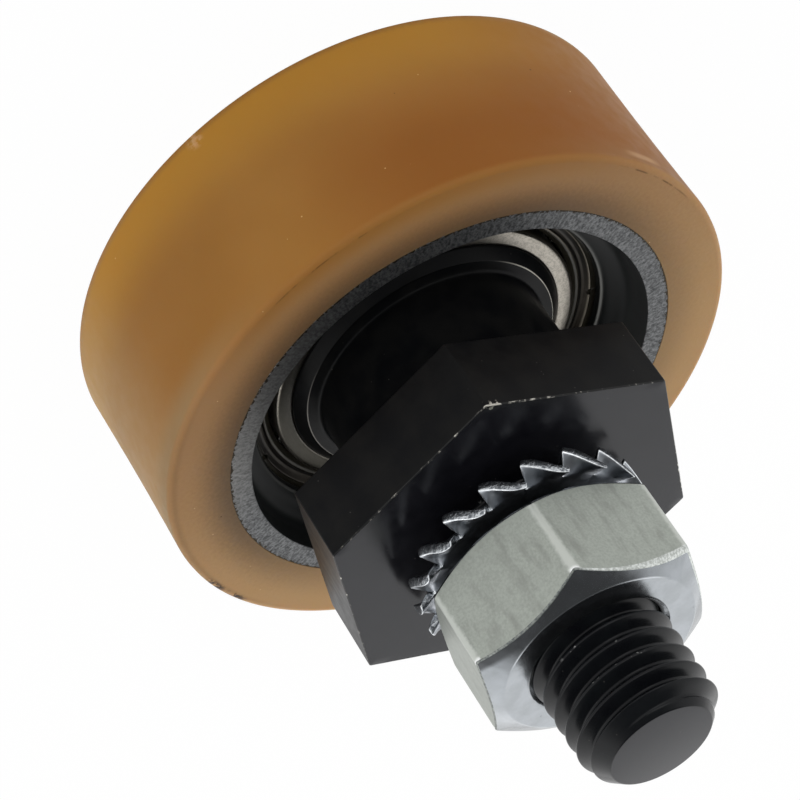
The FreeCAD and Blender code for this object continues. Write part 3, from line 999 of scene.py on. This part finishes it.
# %% Nut mesh
NUT_LOW, NUT_TOP = (corner[2] for corner in extent("hex_nut"))
NUT_AF, NUT_TURN, NUT_FACE_R, NUT_CORNER = 19.0, 0.5, 8.6, 0.4
NUT_CONE = math.tan(math.radians(32))
SINK_R, SINK_RIM, THREAD_PLAY = 6.35, 0.2, 0.06
CONE_EDGE, BACK_CUT, NUT_EDGE = 0.12, 0.2, 0.12
ROLLED_MORE, ROLLED_AT, ROLLED_SPREAD = 0.28, 185, 28

nut_turn = hex_angles(NUT_TURN)
nut_r = hex_radius(nut_turn, NUT_AF, NUT_CORNER, NUT_TURN)
drop = (nut_r - NUT_FACE_R) * NUT_CONE
flat_r = np.full_like(nut_r, NUT_FACE_R)
sink_r = np.full_like(nut_r, SINK_R)
from_rolled = (np.degrees(nut_turn) - ROLLED_AT) / ROLLED_SPREAD
rolled = NUT_EDGE + ROLLED_MORE * np.exp(-from_rolled ** 2)[:, None]
outside = soften(
    [
        ringed(sink_r, NUT_TOP), ringed(sink_r + SINK_RIM, NUT_TOP), ringed(flat_r, NUT_TOP),
        ringed(nut_r, NUT_TOP - drop), ringed(nut_r, NUT_LOW + drop),
        ringed(flat_r, NUT_LOW), ringed(sink_r + SINK_RIM, NUT_LOW), ringed(sink_r, NUT_LOW),
    ],
    [0, 0, CONE_EDGE, rolled, BACK_CUT, CONE_EDGE, 0, 0],
)


def nut_shape(radius, z):
    """The nut's thread has a little play and is countersunk at both ends."""
    return np.maximum(radius + THREAD_PLAY, SINK_R - np.minimum(NUT_TOP - z, z - NUT_LOW))


inside = thread_rows(nut_turn, NUT_LOW, NUT_TOP, nut_shape)
rows = carry_round(outside, nut_turn, STUD_X)
# Rows 6 to 9 are the front edge of the flats, which gets a finish of its own.
nut = weld("nut_forging", (rows[:7], 0), (rows[6:10], 1), (rows[9:], 0), (inside, 0))
stand_for(nut, "hex_nut")

# %% [markdown]
# ## Zinc plate
# Bright zinc is a bluish silver, satin on turned faces and duller, a little green, on the forged flats,
# where it is smeared along the nut. The corners are worn, and a painted highlight makes them bright,
# brightest at their front tips. Painted shade darkens one stretch of the cone's edge, and a painted
# highlight lines the edge of the turned face on one side. The flats are told apart by the way they face,
# and the corners by their distance from the stud's axis.

# %% Zinc finish
zinc = Finish("zinc_plate", {"Metallic": 0.98})
f = zinc
outwards = f.away((STUD_X, 0, 0), f.flat_place)
bright = f.mix(f.fade(f.noise(0.6, 4.0), 0.3, 0.7), "83878A", "8C9094")
bright = f.mix(f.specks(1.3, 0.1, 0.4), bright, "74787B")
# Painted highlight: a pale line round the edge of the turned face, on one side.
face_edge_highlight = f.times(f.fade(f.off(outwards, NUT_FACE_R), 0.1, 0.04), f.fade(f.along(-0.42, -0.91), 3.8, 5.6))
bright = f.mix(face_edge_highlight, bright, "B4B8BC")
# Painted shade: one stretch of the cone's edge is dark.
shaded_edge = f.times(f.fade(f.y, -8.4, -8.9), f.fade(f.x, 2.0, 7.0))
bright = f.mix(shaded_edge, bright, "4A4C4E")
dull = f.mix(f.fade(f.noise(5.0, 3.0), 0.2, 0.8), "989D96", "A6ABA4")
smears = f.noise(0.8, 6.0, f.stretched((1.4, 1.4, 0.4)))
dull = f.mix(f.fade(smears, 0.46, 0.76, 0.0, 0.5), dull, "7C7E79")
# Worn corners with a painted highlight, brightest at their front tips.
corner = f.math("ADD", outwards, f.fade(f.z, NUT_LOW + 3, NUT_TOP - 1.5, 0.0, 0.05))
corner = f.fade(f.plus(corner, f.noise(3.0, 3.0), 0.2), 10.8, 10.98)
dull = f.mix(corner, dull, "BEC2BC")
dull = f.mix(f.times(corner, f.fade(f.z, NUT_TOP - 1.9, NUT_TOP - 1.5)), dull, "F2F4F4")
facing = f.math("ABSOLUTE", f.node("SeparateXYZ", f.coordinates["Normal"]).outputs[2])
upright = f.fade(facing, 0.3, 0.08)
f.give("Base Color", f.mix(upright, bright, dull))
f.give("Roughness", f.plus(f.fade(f.noise(2.0, 4.0), 0.3, 0.7, 0.2, 0.25), upright, 0.2))
f.bump(f.noise(4.0, 3.0), 0.002)
print("zinc plate, with its forged flats duller than its turned faces")

# %% [markdown]
# ## Edges of the nut
# The edge that the cone cuts on each flat is crumbly. Painted shade keeps it dark on most flats, and a
# painted highlight makes it pale on the flat where it was rolled over. It has its own numbered faces, so
# it gets its own small finish instead of one more mask.

# %% Nut edge finish
zinc_edge = Finish("zinc_edge", {"Metallic": 1.0})
f = zinc_edge
crumbs = f.fade(f.noise(5.0, 3.0), 0.35, 0.65)
# Painted shade: dark on most flats. Painted highlight: pale on the rolled flat.
edge_shade = f.mix(crumbs, "5E6262", "8A8E8A")
rolled_highlight = f.mix(crumbs, "ACB0AC", "D2D6D3")
f.give("Base Color", f.mix(f.fade(f.x, -3.2, -4.6), edge_shade, rolled_highlight))
f.give("Roughness", f.fade(crumbs, 0.0, 1.0, 0.5, 0.42))
f.bump(crumbs, 0.005)
dress(nut, zinc, zinc_edge)
print("two finishes on", nut.name)

# %% [markdown]
# ## Washer finishes
# The faces of the washer are plated spring steel, as bright as the nut's flats but bluer. Its rolled
# edges are brighter still, and the sheared walls are coarse where the sheet tore, so one noise there
# drives both the colour and the relief.

# %% Washer finishes
washer_zinc = Finish("washer_zinc", {"Metallic": 1.0})
f = washer_zinc
f.give("Base Color", f.mix(f.fade(f.noise(1.0, 4.0), 0.3, 0.7), "94989D", "A8ACB2"))
f.give("Roughness", f.fade(f.noise(2.5, 4.0), 0.3, 0.7, 0.28, 0.38))
f.bump(f.noise(4.0, 2.0), 0.002)

sheared_zinc = Finish("sheared_zinc", {"Metallic": 1.0})
f = sheared_zinc
torn = f.fade(f.noise(3.0, 3.0), 0.38, 0.62)
f.give("Base Color", f.mix(torn, "6A6E73", "C6CACE"))
f.give("Roughness", f.fade(torn, 0.0, 1.0, 0.34, 0.22))
f.bump(torn, 0.012)

rolled_zinc = Finish("rolled_zinc", {"Metallic": 1.0})
f = rolled_zinc
f.give("Base Color", f.mix(f.fade(f.noise(3.0, 3.0), 0.3, 0.7), "B8BCC0", "E6E9EB"))
f.give("Roughness", f.fade(f.noise(2.0, 3.0), 0.3, 0.7, 0.22, 0.34))
f.bump(f.noise(4.0, 2.0), 0.003)
dress(washer, washer_zinc, sheared_zinc, rolled_zinc)
print("three finishes on", washer.name)

# %% [markdown]
# ## Floor
# The roller stands on a white sheet. For the camera and for reflections the sheet glows, so that it looks
# white, and the rest of it is plain diffuse white, which keeps a soft shadow under the wheel. More lamps
# would make the sheet white too, but they would bleach the roller.

# %% Floor
FLOOR_HALF, FLOOR_DROP, GLOW = 3000.0, 0.02, 0.975

sheet = np.array([[-1, -1, 0], [1, -1, 0], [-1, 1, 0], [1, 1, 0]]) * FLOOR_HALF - (0, 0, FLOOR_DROP)
floor = weld("white_sheet", (sheet.reshape(2, 2, 3), 0))
sheet_white = Finish("white_sheet", {
    "Base Color": (0.92, 0.92, 0.92, 1.0), "Roughness": 0.9, "Specular IOR Level": 0.0,
})
f = sheet_white
path = f.node("LightPath").outputs
seen = f.either(path["Is Camera Ray"], path["Is Glossy Ray"])
seen = f.either(seen, path["Is Transmission Ray"])
glow = f.node("Emission", (1, 1, 1, 1), 1.0).outputs[0]
both = f.node("MixShader", f.times(seen, GLOW), f.shader.outputs[0], glow).outputs[0]
f.feed(f.tree.nodes["Material Output"].inputs["Surface"], both)
dress(floor, sheet_white)

# %% [markdown]
# ## Light
# The roller was photographed in soft light from all sides, with a dark gap overhead, which shows as the
# dark cone on the nut. So the world is a bright tent with a hole at the top. It is brighter behind the
# roller, which lets the hexagon shade the near part of the wheel's side. The tent is a graph as well, in
# the world's own tree.

# %% Light tent
FRONT, BACK, GAP = 0.9, 1.9, 0.08
BACK_WAY = (0.75, 0.66, 0.0)

world = bpy.data.worlds.new("light_tent")
bpy.context.scene.world = world
world.use_nodes = True
tent = Graph(world.node_tree)
direction = tent.node("TexCoord").outputs["Generated"]
height = tent.node("SeparateXYZ", direction).outputs[2]
backwards = tent.vector("DOT_PRODUCT", direction, BACK_WAY)["Value"]
cloth = tent.node("MapRange", backwards, -1.0, 0.95, FRONT, BACK)
hole = tent.node("MapRange", height, 0.7, 0.84, 1.0, GAP)
background = world.node_tree.nodes["Background"]
tent.feed(background.inputs["Color"], (1, 1, 1, 1))
tent.feed(background.inputs["Strength"], tent.times(cloth.outputs[0], hole.outputs[0]))
print("light tent from", FRONT, "in front to", BACK, "behind")

# %% [markdown]
# ## Soft boxes
# Two weak area lights fill in the front. A large lamp gives soft highlights, and it is only turned to
# face the roller, with no constraint to keep it so.

# %% Soft boxes


def soft_box(name, place, size, power):
    """A square area light at a place in millimetres, aimed at the roller."""
    light = bpy.data.lights.new(name, "AREA")
    light.size, light.energy = size * MM, power
    lamp = bpy.data.objects.new(name, light)
    bpy.context.scene.collection.objects.link(lamp)
    lamp.location = Vector(place) * MM
    lamp.rotation_euler = (AIM - lamp.location).to_track_quat("-Z", "Y").to_euler()


soft_box("left_box", (450, -300, 300), 350, 0.2)
soft_box("right_box", (-500, -350, 260), 350, 0.4)
print("two soft boxes")

# %% [markdown]
# ## Colour view
# Colours should come out as they were written, so the plain Standard view is used.

# %% Colour view
bpy.context.scene.view_settings.view_transform = "Standard"
